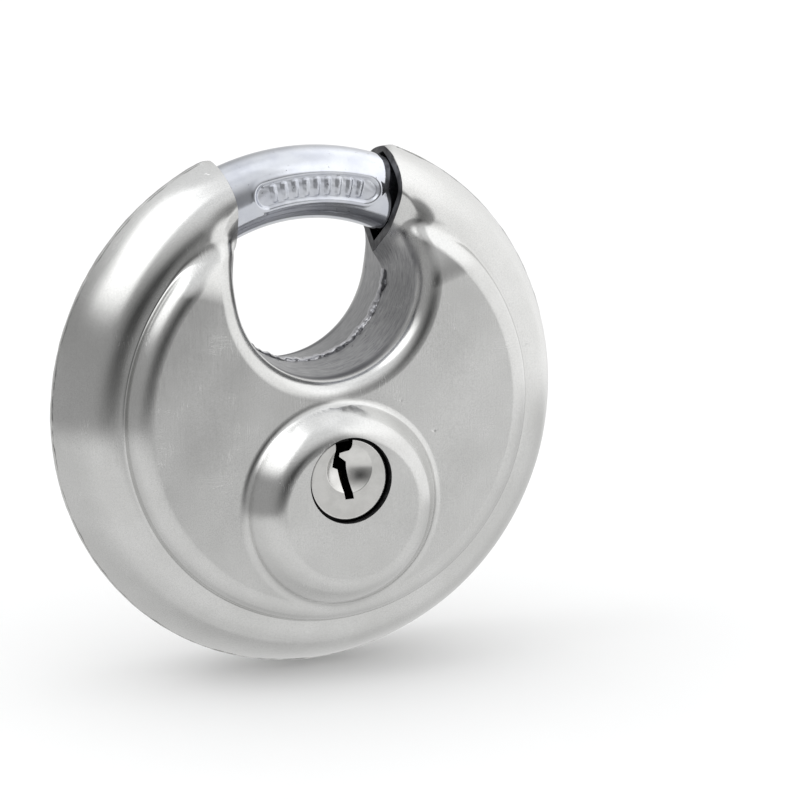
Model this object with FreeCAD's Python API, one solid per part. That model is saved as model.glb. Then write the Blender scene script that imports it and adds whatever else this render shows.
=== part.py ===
import FreeCAD, Part
import math
import os

# Disc padlock. Units: mm. +Z up (towards the shackle), +X right, front face towards -Y.
# Everything is drawn about the parting plane of the two pressed covers, and moved on saving so
# that the flat rear face lies on y = 0. The Y axis is the axis the shackle swings about.
# Angles are in degrees, clockwise from the top as seen from the front.
V = FreeCAD.Vector
Y_AXIS = V(0, 1, 0)
UP, DOWN = V(0, 0, 1), V(0, 0, -1)
BEYOND = 20.0           # half length of cuts that go right through
DIAGONAL = math.sqrt(0.5)

# ---- sizes shared between pieces ---------------------------------------------------------------
HALF = 11.0             # half thickness at the flat panels
THROAT_Z = 16.8         # centre of the round throat
SWING_OPEN = 58.0       # shackle travel
PLUG_Z = -8.0           # plug axis below the swing axis
CRANK = -PLUG_Z         # crank radius equal to the axis distance gives an exact 2:1 drive
CRANK_ANGLE = 180.0 - SWING_OPEN
SLOT_ANGLE = 180.0 - SWING_OPEN / 2

PLUG_R = 4.9
NOSE_Y, CYL_REAR = -13.9, 1.9       # front and rear ends of the cylinder
CAM_Y0, CAM_Y1 = 2.1, 3.5
PLATE_Y0, PLATE_Y1 = 3.6, 5.4
PLATE_HALF = 4.4                    # half width of the drive plate's arm
STOP_HOLE_R = 1.2


# ---- helpers -----------------------------------------------------------------------------------
def save(name, shape):
    moved = shape.copy()
    moved.translate(V(0, -HALF, 0))
    moved.exportStep("parts/" + name + ".step")


def largest(shape):
    return max(shape.Solids, key=lambda solid: solid.Volume)


def polar(angle, radius, y=0.0):
    turn = math.radians(angle)
    return V(radius * math.sin(turn), y, radius * math.cos(turn))


def cyl(axis, radius, y0, y1):
    """Cylinder along Y through the x and z of axis."""
    return Part.makeCylinder(radius, y1 - y0, V(axis.x, y0, axis.z), Y_AXIS)


def bore(axis, radius):
    return cyl(axis, radius, -BEYOND, BEYOND)


def polygon_face(points):
    return Part.Face(Part.makePolygon(points + [points[0]]))


def prism(points, y0, y1):
    """Outline of (x, z) points, extruded along Y."""
    return polygon_face([V(x, y0, z) for x, z in points]).extrude(V(0, y1 - y0, 0))


def frame_point(frame, distance, offset):
    """Point in a frame of (unit vector along, unit vector across, origin)."""
    along, across, origin = frame
    return origin + along * distance + across * offset


def frame_prism(frame, rows, y0, y1):
    """Prism on (distance along, offset across) points."""
    points = [frame_point(frame, distance, offset) for distance, offset in rows]
    return prism([(p.x, p.z) for p in points], y0, y1)


def strip(frame, start, end, half, y0, y1):
    """Straight strip of half width half."""
    rows = [(start, -half), (end, -half), (end, half), (start, half)]
    return frame_prism(frame, rows, y0, y1)


def line(start, end):
    return Part.LineSegment(V(*start), V(*end)).toShape()


def arc(start, middle, end):
    return Part.Arc(V(*start), V(*middle), V(*end)).toShape()


def spline(points):
    curve = Part.BSplineCurve()
    curve.interpolate([V(*point) for point in points])
    return curve.toShape()


def revolve(edges, axis_z=0.0):
    """Full turn of a (radius, y) profile about the Y-parallel axis at axis_z."""
    face = Part.Face(Part.Wire(edges))
    face.translate(V(0, 0, axis_z))
    return face.revolve(V(0, 0, axis_z), Y_AXIS, 360)


def ring_sector(r0, r1, angle0, angle1, y0, y1):
    inner0, outer0 = polar(angle0, r0, y0), polar(angle0, r1, y0)
    outer1, inner1 = polar(angle1, r1, y0), polar(angle1, r0, y0)
    middle = (angle0 + angle1) / 2
    edges = [
        Part.LineSegment(inner0, outer0).toShape(),
        Part.Arc(outer0, polar(middle, r1, y0), outer1).toShape(),
        Part.LineSegment(outer1, inner1).toShape(),
        Part.Arc(inner1, polar(middle, r0, y0), inner0).toShape(),
    ]
    return Part.Face(Part.Wire(edges)).extrude(V(0, y1 - y0, 0))


PLUG_AXIS = V(0, 0, PLUG_Z)
PLATE_FRAME = (polar(SLOT_ANGLE, 1), polar(SLOT_ANGLE + 90, 1), V(0, 0, 0))
CRANK_FRAME = (polar(CRANK_ANGLE, 1), polar(CRANK_ANGLE - 90, 1), PLUG_AXIS)
DRIVE_PIN_AXIS = frame_point(CRANK_FRAME, CRANK, 0)
RIVETS = [polar(SLOT_ANGLE + side * 8.0, 27.2) for side in (-1, 1)]
SCREWS = [polar(angle, 19.5) for angle in (75.0, 118.0, -75.0, -118.0)]

# ---- pressed covers ----------------------------------------------------------------------------
# Each tool takes an inset: 0 for the outer surface, SHEET for the hollow inside it.
SHEET = 1.2
R_OUT = 35.0            # body radius at the welded edge
R_CREASE = 27.9         # radius of the crease between the round rim and the raised panel
Y_CREASE = 7.9          # depth of that crease
SHOULDER = 3.0          # rounding of the raised panel's edge
R_PANEL = R_CREASE - SHOULDER
# Bezier control points (radius, y) of the rim, from the crease to the edge
RIM = ((R_CREASE, -Y_CREASE), (31.9, -7.9), (33.85, -3.41), (R_OUT, 0.0))
RIM_STEPS = 12
HOLLOW_PAST = 1.0       # the hollow runs this far past the parting plane

THROAT_R = 12.7         # throat radius at the lips
THROAT_LIP_Y = 8.4      # where the lip's rounding starts
LIP_R = HALF - THROAT_LIP_Y
WAIST_R, WAIST_MID = 11.75, (12.02, -4.2)   # the throat narrows a little towards the weld
THROAT_PAST = 1.5
MOUTH_X, MOUTH_Z, MOUTH_SLOPE = 10.2, 18.4, 0.133   # the plane the two arms end on
TALL = 45.0             # height that clears the top of the body

TAIL_SLOPE = 8.4 / 5.0  # sides of the V under each arm's end
TAIL_HALF = 14.0
TAIL_X, TAIL_LENGTH, TAIL_DROP = 8.7, 8.0, 1.4      # inner end, x length, fall per x
TAIL_HOLLOW_RISE = 1.4

# Front of the arms beside the raised panel's tips, (radius, y)
ARM = ((21.3, -0.9), (21.8, -2.0), (23.3, -3.8), (24.6, -5.0),
       (26.5, -6.25), (28.1, -6.95), (29.8, -7.42), (31.4, -7.9))
ARM_ANGLE = 30.5        # the trim reaches this far to each side of the top
ARM_INNER_R = 18.5
ARM_HOLLOW_Y, ARM_HOLLOW_ANGLE = 1.3, 2.9           # extra trim for the hollow

BOSS_Z, BOSS_R, BOSS_TOP_R, BOSS_Y = -11.7, 13.4, 9.0, 15.3
BOSS_ROOT = 1.5         # how far the boss reaches back into the panel
BOSS_STEPS = 8
KEYHOLE_R = 5.65


def bezier(t):
    weights = [(1 - t) ** 3, 3 * (1 - t) ** 2 * t, 3 * (1 - t) * t * t, t ** 3]
    return tuple(sum(k * point[i] for k, point in zip(weights, RIM)) for i in (0, 1))


def bezier_normal(t):
    """Unit normal, pointing away from the inside of the disc."""
    before, after = bezier(max(0.0, t - 1e-4)), bezier(min(1.0, t + 1e-4))
    dx, dy = after[0] - before[0], after[1] - before[1]
    length = math.hypot(dx, dy)
    return dy / length, -dx / length


def rim_points(inset):
    points = []
    for i in range(RIM_STEPS + 1):
        t = i / RIM_STEPS
        point, normal = bezier(t), bezier_normal(t)
        points.append((point[0] - inset * normal[0], point[1] - inset * normal[1]))
    if inset:           # run the last point out onto the parting plane
        (x0, y0), (x1, y1) = points[-2:]
        points[-1] = (x0 + (x1 - x0) * y0 / (y0 - y1), 0.0)
    return points


def half_disc(inset):
    """Front half of the disc, pulled in by inset."""
    rim = rim_points(inset)
    front = -HALF + inset
    radius = SHOULDER - inset
    wall_x = R_PANEL + radius
    shoulder_y = -HALF + SHOULDER
    edge_x = rim[-1][0]
    base = HOLLOW_PAST if inset else 0.0
    edges = [
        line((0, base), (0, front)),
        line((0, front), (R_PANEL, front)),
        arc((R_PANEL, front),
            (R_PANEL + radius * DIAGONAL, shoulder_y - radius * DIAGONAL),
            (wall_x, shoulder_y)),
        line((wall_x, shoulder_y), (wall_x, -Y_CREASE)),
    ]
    if inset:           # the sheet bends round the crease
        edges.append(arc((wall_x, -Y_CREASE),
                         (R_CREASE - inset * DIAGONAL, -Y_CREASE + inset * DIAGONAL),
                         rim[0]))
    edges.append(spline(rim))
    if inset:
        edges.append(line((edge_x, 0), (edge_x, base)))
    edges.append(line((edge_x, base), (0, base)))
    return revolve(edges)


def boss(inset):
    """Raised boss over the cylinder, with a quarter-elliptical shoulder."""
    width = BOSS_R - BOSS_TOP_R - inset
    depth = BOSS_Y - HALF - inset
    top = -BOSS_Y + inset
    base = -HALF + BOSS_ROOT
    wall_x = BOSS_TOP_R + width
    shoulder = []
    for i in range(BOSS_STEPS + 1):
        turn = math.radians(90.0 * i / BOSS_STEPS)
        shoulder.append((BOSS_TOP_R + width * math.sin(turn),
                         top + depth * (1 - math.cos(turn))))
    return revolve([
        line((0, base), (0, top)),
        line((0, top), (BOSS_TOP_R, top)),
        spline(shoulder),
        line((wall_x, top + depth), (wall_x, base)),
        line((wall_x, base), (0, base)),
    ], BOSS_Z)


def arm_tail(side, inset):
    """V-shaped underside of one arm, which reaches a little way into the throat's circle."""
    base = MOUTH_Z + TAIL_DROP * (MOUTH_X - TAIL_X) + (TAIL_HOLLOW_RISE if inset else 0.0)
    rise = TAIL_HALF / TAIL_SLOPE
    section = [(0, 0), (-TAIL_HALF, rise), (-TAIL_HALF, TALL), (TAIL_HALF, TALL),
               (TAIL_HALF, rise)]
    face = polygon_face([V(side * TAIL_X, y, base + z) for y, z in section])
    return face.extrude(V(side * TAIL_LENGTH, 0, -TAIL_DROP * TAIL_LENGTH))


def throat(inset):
    """The space the throat takes out of one half, grown by inset."""
    radius = LIP_R - inset
    lip_x, lip_y = THROAT_R + LIP_R, -THROAT_LIP_Y
    waist = WAIST_R + inset
    base = THROAT_PAST if inset else 0.0
    far = -30
    edges = [
        line((0, base), (0, far)),
        line((0, far), (lip_x, far)),
        line((lip_x, far), (lip_x, lip_y - radius)),
        arc((lip_x, lip_y - radius),
            (lip_x - radius * DIAGONAL, lip_y - radius * DIAGONAL),
            (lip_x - radius, lip_y)),
        arc((lip_x - radius, lip_y), (WAIST_MID[0] + inset, WAIST_MID[1]), (waist, 0)),
    ]
    if inset:
        edges.append(line((waist, 0), (waist, base)))
    edges.append(line((waist, base), (0, base)))
    tool = revolve(edges, THROAT_Z)
    for side in (1, -1):
        tool = tool.cut(arm_tail(side, inset))
    return tool


def mouth_gap():
    """The opening between the two arms, above the throat."""
    top_x = MOUTH_X + MOUTH_SLOPE * (TALL - MOUTH_Z)
    return prism([(-MOUTH_X, MOUTH_Z), (MOUTH_X, MOUTH_Z), (top_x, TALL), (-top_x, TALL)],
                 -BEYOND, BEYOND)


def arm_trim(inset):
    """Space in front of the arms, which carry on past the raised panel as plain tubes."""
    shift = ARM_HOLLOW_Y if inset else 0.0
    points = [(x, y + shift) for x, y in ARM]
    start, end = points[0], points[-1]
    face = Part.Face(Part.Wire([
        line((ARM_INNER_R, -BEYOND), (ARM_INNER_R, start[1])),
        line((ARM_INNER_R, start[1]), start),
        spline(points),
        line(end, (end[0], -BEYOND)),
        line((end[0], -BEYOND), (ARM_INNER_R, -BEYOND)),
    ]))
    angle = ARM_ANGLE + (ARM_HOLLOW_ANGLE if inset else 0.0)
    face.rotate(V(0, 0, 0), Y_AXIS, -90 - angle)
    return face.revolve(V(0, 0, 0), Y_AXIS, 2 * angle)


def cover(with_boss):
    """One pressed cover in the front position."""
    outer = half_disc(0.0).cut(arm_trim(0.0))
    inner = half_disc(SHEET).cut(arm_trim(SHEET))
    if with_boss:
        outer = outer.fuse(boss(0.0))
        inner = inner.fuse(boss(SHEET))
    outer = outer.cut(throat(0.0)).cut(mouth_gap())
    inner = inner.cut(throat(SHEET))
    shell = outer.cut(inner)
    if with_boss:
        shell = shell.cut(cyl(PLUG_AXIS, KEYHOLE_R, -BEYOND, -9))
    return largest(shell)


# ---- shackle -----------------------------------------------------------------------------------
SHACKLE_R, BAR_R = 28.55, 4.76
TIP_ANGLE, TAIL_ANGLE = -32.0, 168.0
PANEL_START, PANEL_END = -12.4, 15.5    # angles of the sunk oval panel
PANEL_HALF, PANEL_DEPTH = 1.85, 0.5
PANEL_BARS = 9
PANEL_BAR_HALF, PANEL_BAR_HALF_ANGLE = 1.15, 0.45
RIVET_HOLE_R = 1.5


def oval(half, y0, y1):
    """Curved oval on the bar's centre line, round at both ends."""
    inner, outer = SHACKLE_R - half, SHACKLE_R + half
    middle = (PANEL_START + PANEL_END) / 2

    def long_arc(radius, start, end):
        return Part.Arc(polar(start, radius, y0), polar(middle, radius, y0),
                        polar(end, radius, y0)).toShape()

    def end_arc(angle, way, first, last):
        tip = polar(angle, SHACKLE_R, y0) + polar(angle + 90, half * way)
        return Part.Arc(polar(angle, first, y0), tip, polar(angle, last, y0)).toShape()

    edges = [
        long_arc(outer, PANEL_START, PANEL_END),
        end_arc(PANEL_END, 1, outer, inner),
        long_arc(inner, PANEL_END, PANEL_START),
        end_arc(PANEL_START, -1, inner, outer),
    ]
    return Part.Face(Part.Wire(Part.__sortEdges__(edges))).extrude(V(0, y1 - y0, 0))


def make_shackle():
    start = TIP_ANGLE + 4.0
    circle = Part.makeCircle(BAR_R, polar(start, SHACKLE_R), polar(start + 90, 1))
    shackle = Part.Face(Part.Wire(circle)).revolve(V(0, 0, 0), Y_AXIS, TAIL_ANGLE - start)
    # the tip narrows over its last few degrees so that it finds the socket
    cone_start = polar(TIP_ANGLE + 5.0, SHACKLE_R)
    cone_axis = polar(TIP_ANGLE, SHACKLE_R) - cone_start
    shackle = shackle.fuse(Part.makeCone(BAR_R - 0.15, BAR_R - 1.5, cone_axis.Length,
                                         cone_start, cone_axis))
    # flat on the rear of the tail for the drive plate, and two blind rivet holes
    shackle = shackle.cut(ring_sector(21.0, 29.9, 134.5, 172.0, PLATE_Y0, 8.0))
    for rivet in RIVETS:
        shackle = shackle.cut(cyl(rivet, RIVET_HOLE_R, -1.5, 8))
    # sunk oval panel on the front of the exposed part, with a row of plain raised bars
    floor = -BAR_R + PANEL_DEPTH
    shackle = shackle.cut(oval(PANEL_HALF, -BAR_R - 1, floor))
    for i in range(PANEL_BARS):
        angle = PANEL_START + (PANEL_END - PANEL_START) * i / (PANEL_BARS - 1)
        shackle = shackle.fuse(ring_sector(
            SHACKLE_R - PANEL_BAR_HALF, SHACKLE_R + PANEL_BAR_HALF,
            angle - PANEL_BAR_HALF_ANGLE, angle + PANEL_BAR_HALF_ANGLE,
            floor - 0.28, floor + 0.3))
    return shackle.removeSplitter()


# ---- drive between plug and shackle ------------------------------------------------------------
SLOT_HALF, SLOT_END = 1.65, 16.4
DRIVE_PIN_R, DRIVE_PIN_CHAMFER, DRIVE_PIN_Y = 1.6, 0.25, 6.1
CAM_HUB_HALF, CAM_END_R = 4.0, 2.6
TAIL_R, TAIL_FLAT = 2.9, 2.1        # plug tail: radius, and half width over the flats
TAIL_GAP = 0.02


def drive_plate():
    plate = strip(PLATE_FRAME, 12.4, 26.0, PLATE_HALF, PLATE_Y0, PLATE_Y1).fuse(
        ring_sector(24.2, 29.6, SLOT_ANGLE - 13.0, SLOT_ANGLE + 13.0, PLATE_Y0, PLATE_Y1))
    slot = strip(PLATE_FRAME, 10.0, SLOT_END, SLOT_HALF, PLATE_Y0 - 1, PLATE_Y1 + 1)
    plate = plate.cut(slot).cut(bore(frame_point(PLATE_FRAME, SLOT_END, 0), SLOT_HALF))
    for rivet in RIVETS:
        plate = plate.cut(bore(rivet, RIVET_HOLE_R))
    return plate.removeSplitter()


def plate_rivet(place):
    shank = cyl(place, RIVET_HOLE_R - 0.02, -1.4, PLATE_Y1)
    head = Part.makeCone(2.1, 1.7, 0.55, V(place.x, PLATE_Y1, place.z), Y_AXIS)
    return shank.fuse(head).removeSplitter()


def plug_tail(radius, flat, y0, y1):
    """Double-flatted tail of the plug; the flats face the crank's sides."""
    return cyl(PLUG_AXIS, radius, y0, y1).common(
        strip(CRANK_FRAME, -BEYOND, BEYOND, flat, y0, y1))


def driver_cam():
    arm = [(0, -CAM_HUB_HALF), (CRANK, -CAM_END_R), (CRANK, CAM_END_R), (0, CAM_HUB_HALF)]
    cam = cyl(PLUG_AXIS, 4.5, CAM_Y0, CAM_Y1)
    cam = cam.fuse(frame_prism(CRANK_FRAME, arm, CAM_Y0, CAM_Y1))
    cam = cam.fuse(cyl(DRIVE_PIN_AXIS, CAM_END_R, CAM_Y0, CAM_Y1)).removeSplitter()
    cam = cam.cut(plug_tail(TAIL_R + TAIL_GAP, TAIL_FLAT + TAIL_GAP, CAM_Y0 - 1, CAM_Y1 + 1))
    return cam.cut(bore(DRIVE_PIN_AXIS, 1.2))


def drive_pin():
    pin = cyl(DRIVE_PIN_AXIS, 1.18, CAM_Y0, CAM_Y1)
    pin = pin.fuse(cyl(DRIVE_PIN_AXIS, DRIVE_PIN_R, CAM_Y1, DRIVE_PIN_Y)).removeSplitter()
    end = V(DRIVE_PIN_AXIS.x, DRIVE_PIN_Y, DRIVE_PIN_AXIS.z)
    pin = pin.fuse(Part.makeCone(DRIVE_PIN_R, DRIVE_PIN_R - DRIVE_PIN_CHAMFER,
                                 DRIVE_PIN_CHAMFER, end, Y_AXIS))
    return pin.removeSplitter()


# ---- plug and its clip -------------------------------------------------------------------------
PLUG_FACE = -14.4
FLANGE_R, FLANGE_REAR = 5.2, NOSE_Y - 0.02
TAIL_Y0 = CYL_REAR + 0.1
GROOVE_Y0, GROOVE_Y1, GROOVE_R = CAM_Y1 + 0.03, CAM_Y1 + 0.6, 1.3   # clip groove
PIN_Y = (-11.5, -7.8, -4.1, -0.4)
CHAMBER_R = 1.36
# Keyway outline, (x, z above the plug axis)
KEYWAY = ((-1.75, 5.6), (0.72, 5.6), (0.56, 4.1), (0.34, 3.72), (-1.0, 3.5), (-1.0, 3.0),
          (0.02, 2.2), (0.06, 1.3), (0.66, -2.56), (-0.52, -2.56), (-1.2, 1.3),
          (-2.02, 1.72), (-1.7, 4.15))


def make_plug():
    plug = cyl(PLUG_AXIS, FLANGE_R, PLUG_FACE, FLANGE_REAR)
    plug = plug.fuse(cyl(PLUG_AXIS, PLUG_R, FLANGE_REAR, TAIL_Y0))
    plug = plug.fuse(plug_tail(TAIL_R, TAIL_FLAT, TAIL_Y0, GROOVE_Y0))
    plug = plug.fuse(cyl(PLUG_AXIS, GROOVE_R, GROOVE_Y0, GROOVE_Y1))
    plug = plug.fuse(cyl(PLUG_AXIS, 1.9, GROOVE_Y1, 5.0))
    # dished finger-guide round the keyway
    plug = plug.cut(Part.makeCone(3.55, 1.0, 0.95, V(0.1, PLUG_FACE, PLUG_Z + 1.35), Y_AXIS))
    plug = plug.cut(prism([(x, PLUG_Z + z) for x, z in KEYWAY], PLUG_FACE - 1, CYL_REAR - 0.9))
    for y in PIN_Y:
        plug = plug.cut(Part.makeCylinder(CHAMBER_R, 5.5, V(0, y, PLUG_Z - PLUG_R - 0.1), UP))
    return largest(plug)


def cam_clip():
    clip = cyl(PLUG_AXIS, 3.3, CAM_Y1 + 0.06, CAM_Y1 + 0.56).cut(
        bore(PLUG_AXIS, GROOVE_R + 0.03))
    opening = [(-0.9, PLUG_Z), (0.9, PLUG_Z), (1.6, PLUG_Z + 6), (-1.6, PLUG_Z + 6)]
    clip = clip.cut(prism(opening, -BEYOND, BEYOND))
    for x in (2.3, -2.3):
        clip = clip.cut(bore(V(x, 0, PLUG_Z - 0.2), 0.55))
    return clip


# ---- cylinder and pins -------------------------------------------------------------------------
BARREL_R, COLLAR_R, NOSE_R, BARREL_Y = 7.4, 8.1, 6.3, -12.6
STEM_HALF, STEM_Y, STEM_Z = 3.5, -12.9, -21.8   # pin stem: half width, front face, bottom
COVER_Z = -20.9         # inner face of the chamber cover
COVER_HALF, COVER_T = 1.98, 0.85
PIN_R = 1.3
KEY_PIN_LENGTHS = (2.6, 3.4, 2.2, 3.0)
KEY_PIN_BASE, KEY_PIN_POINT = 0.22, 0.9         # heights of the key pin's two cones
DRIVER_LENGTH, DRIVER_CHAMFER = 3.2, 0.25
DRIVER_TOP = PLUG_Z - PLUG_R - 0.03
SPRING_WIRE_R, SPRING_COIL_R, SPRING_TURNS, SPRING_GAP = 0.17, 1.0, 6.5, 0.02


def cylinder_body():
    body = cyl(PLUG_AXIS, NOSE_R, NOSE_Y, BARREL_Y)
    body = body.fuse(cyl(PLUG_AXIS, BARREL_R, BARREL_Y, CYL_REAR))
    body = body.fuse(cyl(PLUG_AXIS, COLLAR_R, -10.7, -9.7))
    body = body.fuse(Part.makeBox(2 * STEM_HALF, CYL_REAR - STEM_Y, PLUG_Z - STEM_Z,
                                  V(-STEM_HALF, STEM_Y, STEM_Z)))
    body = body.cut(bore(PLUG_AXIS, PLUG_R + 0.03))
    for y in PIN_Y:
        body = body.cut(Part.makeCylinder(CHAMBER_R, 14.0, V(0, y, PLUG_Z - 1), DOWN))
    # groove for the chamber cover
    body = body.cut(Part.makeBox(4.0, 15.0, 1.92, V(-2.0, -13.3, COVER_Z - 1.92)))
    return largest(body.removeSplitter())


def chamber_cover():
    return Part.makeBox(2 * COVER_HALF, 14.4, COVER_T, V(-COVER_HALF, -12.85, COVER_Z - COVER_T))


def key_pin(y, length):
    base = PLUG_Z - PLUG_R + 0.02
    straight = length - KEY_PIN_BASE - KEY_PIN_POINT
    pin = Part.makeCone(0.5, PIN_R, KEY_PIN_BASE, V(0, y, base), UP)
    pin = pin.fuse(Part.makeCylinder(PIN_R, straight, V(0, y, base + KEY_PIN_BASE), UP))
    point = V(0, y, base + length - KEY_PIN_POINT)
    return pin.fuse(Part.makeCone(PIN_R, 0.45, KEY_PIN_POINT, point, UP)).removeSplitter()


def driver_pin(y):
    straight = DRIVER_LENGTH - DRIVER_CHAMFER
    pin = Part.makeCylinder(PIN_R, straight, V(0, y, DRIVER_TOP), DOWN)
    return pin.fuse(Part.makeCone(PIN_R, PIN_R - DRIVER_CHAMFER, DRIVER_CHAMFER,
                                  V(0, y, DRIVER_TOP - straight), DOWN)).removeSplitter()


def pin_spring(y):
    """Helical spring between the chamber cover and the driver pin."""
    bottom = COVER_Z + SPRING_WIRE_R + SPRING_GAP
    height = DRIVER_TOP - DRIVER_LENGTH - SPRING_WIRE_R - SPRING_GAP - bottom
    helix = Part.makeHelix(height / SPRING_TURNS, height, SPRING_COIL_R)
    helix.translate(V(0, y, bottom))
    first = helix.Edges[0]
    start = first.valueAt(first.FirstParameter)
    tangent = first.tangentAt(first.FirstParameter)
    profile = Part.Wire(Part.makeCircle(SPRING_WIRE_R, start, tangent))
    return Part.Wire(helix.Edges).makePipeShell([profile], True, True)


# ---- inner castings ----------------------------------------------------------------------------
CORE_R = 23.3           # outside radius of the castings
REAR_Y0, REAR_Y1 = 5.9, 9.7
HEAD_SEAT = 7.9         # floor of the screw-head recesses
HEAD_Y0, HEAD_Y1 = 7.95, 9.45
POCKETS = ((13.6, -6.2, 3.6), (11.0, -16.2, 3.2))   # x to either side, z, radius
stop = frame_point(PLATE_FRAME, 20.0, -(PLATE_HALF + STOP_HOLE_R + 0.06))
STOPS = (stop, V(-stop.x, 0, stop.z))


def core_disc(y0, y1):
    """Disc cleared for the throat and cut off flat at the top."""
    disc = cyl(V(0, 0, 0), CORE_R, y0, y1)
    disc = disc.cut(bore(V(0, 0, THROAT_Z), 15.6))
    return disc.cut(Part.makeBox(80, 40, 30, V(-40, -20, 12.0)))


def front_carrier():
    carrier = core_disc(-9.55, CYL_REAR)
    for screw in SCREWS:
        carrier = carrier.fuse(cyl(screw, 3.0, CYL_REAR, 5.85))
    carrier = carrier.cut(bore(PLUG_AXIS, BARREL_R + 0.08))
    half = STEM_HALF + 0.08
    carrier = carrier.cut(Part.makeBox(2 * half, 14.0 + CYL_REAR, 15.0, V(-half, -12.0, -21.9)))
    for side in (-1, 1):        # lightening pockets, open to the front
        for x, z, radius in POCKETS:
            carrier = carrier.cut(cyl(V(side * x, 0, z), radius, -9.6, -1.0))
    for screw in SCREWS:
        carrier = carrier.cut(cyl(screw, 1.22, -3.0, 9.0))
    return largest(carrier.removeSplitter())


def rear_carrier():
    carrier = core_disc(REAR_Y0, REAR_Y1)
    carrier = carrier.cut(cyl(PLUG_AXIS, 10.3, 5.0, 7.1))
    for screw in SCREWS:
        carrier = carrier.cut(bore(screw, 1.4)).cut(cyl(screw, 2.5, HEAD_SEAT, BEYOND))
    for place in STOPS:
        carrier = carrier.cut(cyl(place, STOP_HOLE_R, 5.0, 8.6))
    return largest(carrier.removeSplitter())


def carrier_screw(place):
    screw = cyl(place, 2.3, HEAD_Y0, HEAD_Y1).fuse(cyl(place, 1.2, -2.5, HEAD_Y0))
    for half_x, half_z in ((1.5, 0.3), (0.3, 1.5)):     # cross recess
        screw = screw.cut(Part.makeBox(2 * half_x, 0.8, 2 * half_z,
                                       V(place.x - half_x, 8.7, place.z - half_z)))
    return screw


# ---- output ------------------------------------------------------------------------------------
os.makedirs("parts", exist_ok=True)
save("front_cover", cover(True))
save("rear_cover", cover(False).mirror(V(0, 0, 0), Y_AXIS))
save("shackle", make_shackle())
save("drive_plate", drive_plate())
save("drive_plate_rivets", Part.makeCompound([plate_rivet(place) for place in RIVETS]))
save("driver_cam", driver_cam())
save("drive_pin", drive_pin())
save("plug", make_plug())
save("cam_clip", cam_clip())
save("cylinder_body", cylinder_body())
save("chamber_cover", chamber_cover())
for i, (y, length) in enumerate(zip(PIN_Y, KEY_PIN_LENGTHS), 1):
    save("key_pin_%d" % i, key_pin(y, length))
    save("driver_pin_%d" % i, driver_pin(y))
    save("pin_spring_%d" % i, pin_spring(y))
save("front_carrier", front_carrier())
save("rear_carrier", rear_carrier())
save("stop_pins", Part.makeCompound([cyl(p, STOP_HOLE_R - 0.01, 3.7, 8.55) for p in STOPS]))
save("carrier_screws", Part.makeCompound([carrier_screw(place) for place in SCREWS]))
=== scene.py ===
import bpy, bmesh, math
import numpy as np
from mathutils import Matrix, Vector


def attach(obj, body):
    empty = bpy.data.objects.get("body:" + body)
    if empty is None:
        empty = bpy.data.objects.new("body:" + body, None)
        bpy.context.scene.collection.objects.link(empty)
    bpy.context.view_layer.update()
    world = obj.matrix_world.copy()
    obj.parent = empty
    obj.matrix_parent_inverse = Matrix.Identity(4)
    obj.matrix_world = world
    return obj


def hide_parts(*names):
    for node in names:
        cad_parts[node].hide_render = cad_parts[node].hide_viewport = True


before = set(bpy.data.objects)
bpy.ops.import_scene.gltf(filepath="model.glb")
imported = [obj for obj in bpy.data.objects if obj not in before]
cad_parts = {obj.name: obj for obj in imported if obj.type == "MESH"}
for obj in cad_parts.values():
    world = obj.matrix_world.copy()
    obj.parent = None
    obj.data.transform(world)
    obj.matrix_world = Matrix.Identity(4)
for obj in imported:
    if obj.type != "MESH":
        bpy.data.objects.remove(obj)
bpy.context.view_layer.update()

MM = 0.001
YC = 11.0            # the covers' parting plane lies 11 mm in front of the rear face

# =============================================================================================================
# shape of the pressed covers: one scalar field, negative inside, in mm; Y is the distance from the parting plane
# =============================================================================================================
R_OUT, R_CR = 35.0, 27.9
_t = np.linspace(0, 1, 600)[:, None]
_P = np.array([(27.9, 7.9), (31.9, 7.9), (33.85, 3.41), (35.0, 0.0)])
_B = (1-_t)**3*_P[0] + 3*(1-_t)**2*_t*_P[1] + 3*(1-_t)*_t*_t*_P[2] + _t**3*_P[3]
HX, HY = _B[:, 0], _B[:, 1]
HS = np.gradient(HY, HX)
_Z = np.linspace(0, 20, 400)
_HV = 1.34*((_Z+0.3)**0.82 - 0.3**0.82)
_HVS = np.gradient(_HV, _Z)


def smin(a, b, k):
    h = np.clip(0.5 + 0.5*(b-a)/k, 0, 1)
    return b*(1-h) + a*h - k*h*(1-h)


def rmax(a, b, r):
    u, v = np.maximum(a+r, 0), np.maximum(b+r, 0)
    return np.minimum(-r, np.maximum(a, b)) + np.sqrt(u*u + v*v)


def rounded_cyl(d, Y, r_flat, y_flat, rad):
    q1, q2 = d - r_flat, Y - y_flat
    return np.hypot(np.maximum(q1, 0), np.maximum(q2, 0)) + np.minimum(np.maximum(q1, q2), 0) - rad


def wall_r(Y):
    t = np.clip(Y/8.4, 0, 1)
    return 11.75 + 0.95*(1.8*t*t - 0.8*t*t*t)


WOB = [(0.31, 0.12, 0.17, 0.6, 0.010), (-0.14, 0.29, -0.21, 2.1, 0.010), (0.47, -0.33, 0.10, 4.0, 0.006),
       (0.22, 0.51, 0.33, 1.3, 0.005), (-0.61, 0.37, 0.29, 5.1, 0.003), (0.83, 0.52, -0.40, 3.3, 0.0022)]


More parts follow.
